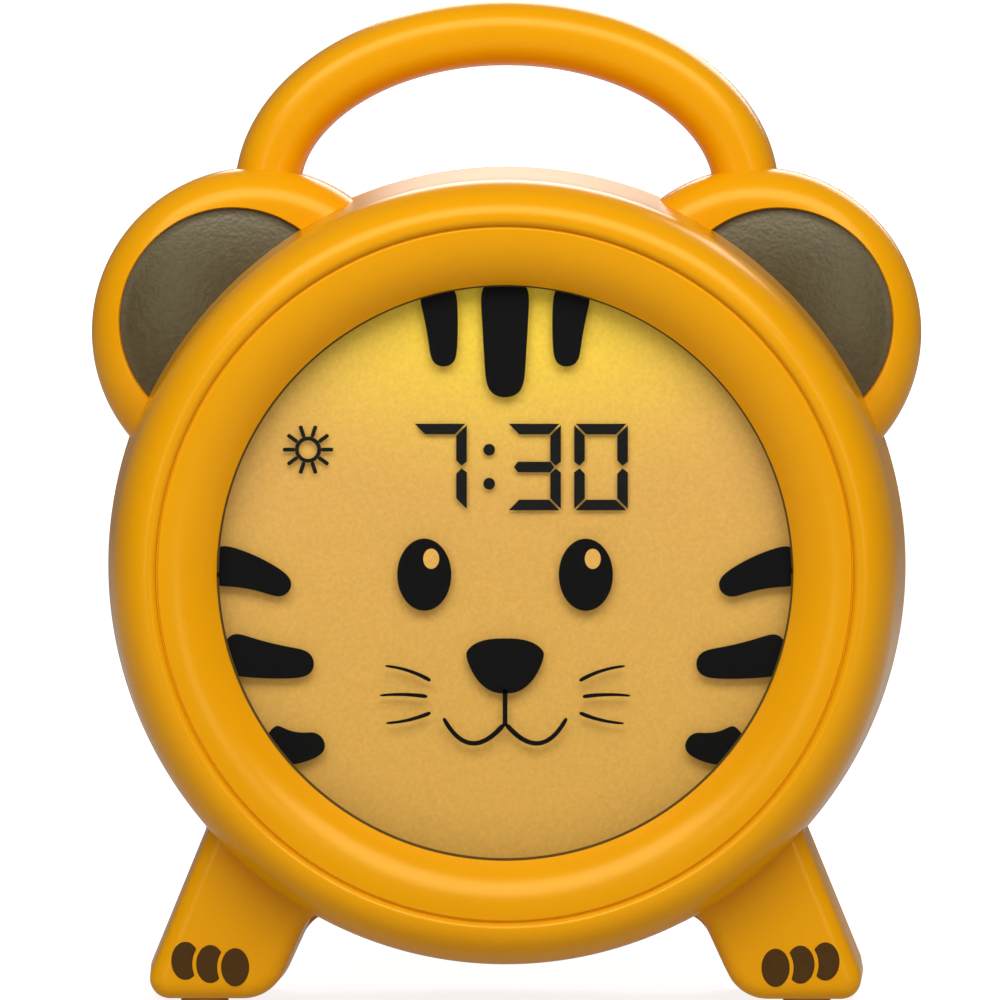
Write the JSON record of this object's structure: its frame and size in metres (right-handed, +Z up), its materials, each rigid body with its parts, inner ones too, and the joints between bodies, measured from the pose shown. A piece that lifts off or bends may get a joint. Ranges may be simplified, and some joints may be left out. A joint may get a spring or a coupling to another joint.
{
  "type": "kids alarm clock with night light",
  "caption": "Round kids' alarm clock with a night light, digital face, animal ears, carrying handle and two splayed legs.",
  "frame": {"origin": "on the table under the middle of the clock", "axes": "+Z up, the face looks towards -Y, +X is to the right as seen from the front"},
  "size_m": [0.1574, 0.066, 0.1897],
  "materials": {
    "orange_shell": "glossy moulded plastic",
    "orange_bezel": "glossy moulded plastic",
    "ear_pad": "fine leather grain, soft touch",
    "toe_inlay": "matte",
    "foot_rubber": "matte",
    "clear_lens": "clear acrylic, satin front",
    "lcd_glass": "polished",
    "tinted_film": "fine matte grain",
    "light_guide": "milky, etched",
    "white_plastic": "matte moulded",
    "circuit_board": "solder mask",
    "lamp": "yellow phosphor",
    "black_plastic": "matte moulded",
    "button_plastic": "soft satin",
    "steel": "plated",
    "speaker_paper": "pressed paper",
    "cell_sleeve": "printed sleeve, plain"
  },
  "bodies": {
    "housing": {"front_shell": "orange_shell", "rear_shell": "orange_shell", "face_bezel": "orange_bezel", "ear_pad_left": "ear_pad", "ear_pad_right": "ear_pad", "toe_inlays": "toe_inlay", "foot_pads": "foot_rubber", "face_lens": "clear_lens", "lcd_panel": "lcd_glass", "tint_film": "tinted_film", "light_guide": "light_guide", "light_reflector": "white_plastic", "battery_tray": "white_plastic", "lamp_board": "circuit_board", "main_board": "circuit_board", "key_board_left": "circuit_board", "key_board_right": "circuit_board", "switch_board": "circuit_board", "power_board": "circuit_board", "lamp_leds": "lamp", "board_parts": "black_plastic", "key_switches": "black_plastic", "slide_switch": "black_plastic", "shell_screws": "steel", "speaker_basket": "steel", "power_socket": "steel", "battery_contacts": "steel", "speaker_cone": "speaker_paper", "battery_cells": "cell_sleeve"},
    "button_left_top": {"button_left_top": "button_plastic"},
    "button_left_middle": {"button_left_middle": "button_plastic"},
    "button_left_bottom": {"button_left_bottom": "button_plastic"},
    "button_right_top": {"button_right_top": "button_plastic"},
    "button_right_middle": {"button_right_middle": "button_plastic"},
    "button_right_bottom": {"button_right_bottom": "button_plastic"},
    "alarm_slide": {"alarm_slide": "button_plastic"},
    "battery_door": {"battery_door": "orange_shell", "door_screw": "steel"}
  },
  "joints": [
    {"name": "press_left_top", "type": "slide", "parent": "housing", "child": "button_left_top", "axis": [0, -1, 0], "range_m": [0, 0.0008], "stiffness_N_per_m": 1000, "springref_m": -0.0006},
    {"name": "press_left_middle", "type": "slide", "parent": "housing", "child": "button_left_middle", "axis": [0, -1, 0], "range_m": [0, 0.0008], "stiffness_N_per_m": 1000, "springref_m": -0.0006},
    {"name": "press_left_bottom", "type": "slide", "parent": "housing", "child": "button_left_bottom", "axis": [0, -1, 0], "range_m": [0, 0.0008], "stiffness_N_per_m": 1000, "springref_m": -0.0006},
    {"name": "press_right_top", "type": "slide", "parent": "housing", "child": "button_right_top", "axis": [0, -1, 0], "range_m": [0, 0.0008], "stiffness_N_per_m": 1000, "springref_m": -0.0006},
    {"name": "press_right_middle", "type": "slide", "parent": "housing", "child": "button_right_middle", "axis": [0, -1, 0], "range_m": [0, 0.0008], "stiffness_N_per_m": 1000, "springref_m": -0.0006},
    {"name": "press_right_bottom", "type": "slide", "parent": "housing", "child": "button_right_bottom", "axis": [0, -1, 0], "range_m": [0, 0.0008], "stiffness_N_per_m": 1000, "springref_m": -0.0006},
    {"name": "alarm_switch", "type": "slide", "parent": "housing", "child": "alarm_slide", "axis": [1, 0, 0], "range_m": [0, 0.004]},
    {"name": "battery_door_hinge", "type": "hinge", "parent": "housing", "child": "battery_door", "pos_m": [0, 0.0318, 0.02575], "axis": [-1, 0, 0], "range_deg": [0, 60]}
  ]
}
